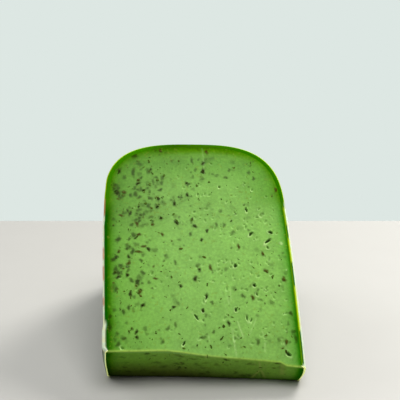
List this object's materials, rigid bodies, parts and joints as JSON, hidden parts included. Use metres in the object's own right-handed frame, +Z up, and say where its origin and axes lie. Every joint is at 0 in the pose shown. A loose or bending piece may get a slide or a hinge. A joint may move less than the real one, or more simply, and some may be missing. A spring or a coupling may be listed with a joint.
{
  "type": "cheese wedge",
  "caption": "Wedge of green herb cheese with a rounded rim and a cut-off tip, lying on one of its cut faces.",
  "frame": {"origin": "under the middle of the wedge's bounding box, in the plane of the lower cut face that it lies on", "axes": "+Z up, +Y from the cut-off tip to the rounded rim, +X along the axis of the wheel it was cut from"},
  "size_m": [0.0927, 0.1193, 0.0956],
  "materials": {
    "cheese": "semi-hard green cheese with dark herb flecks, satin on the cuts and glossy darker green on the rind"
  },
  "bodies": {
    "root": {"cheese_wedge": "cheese"}
  },
  "joints": []
}
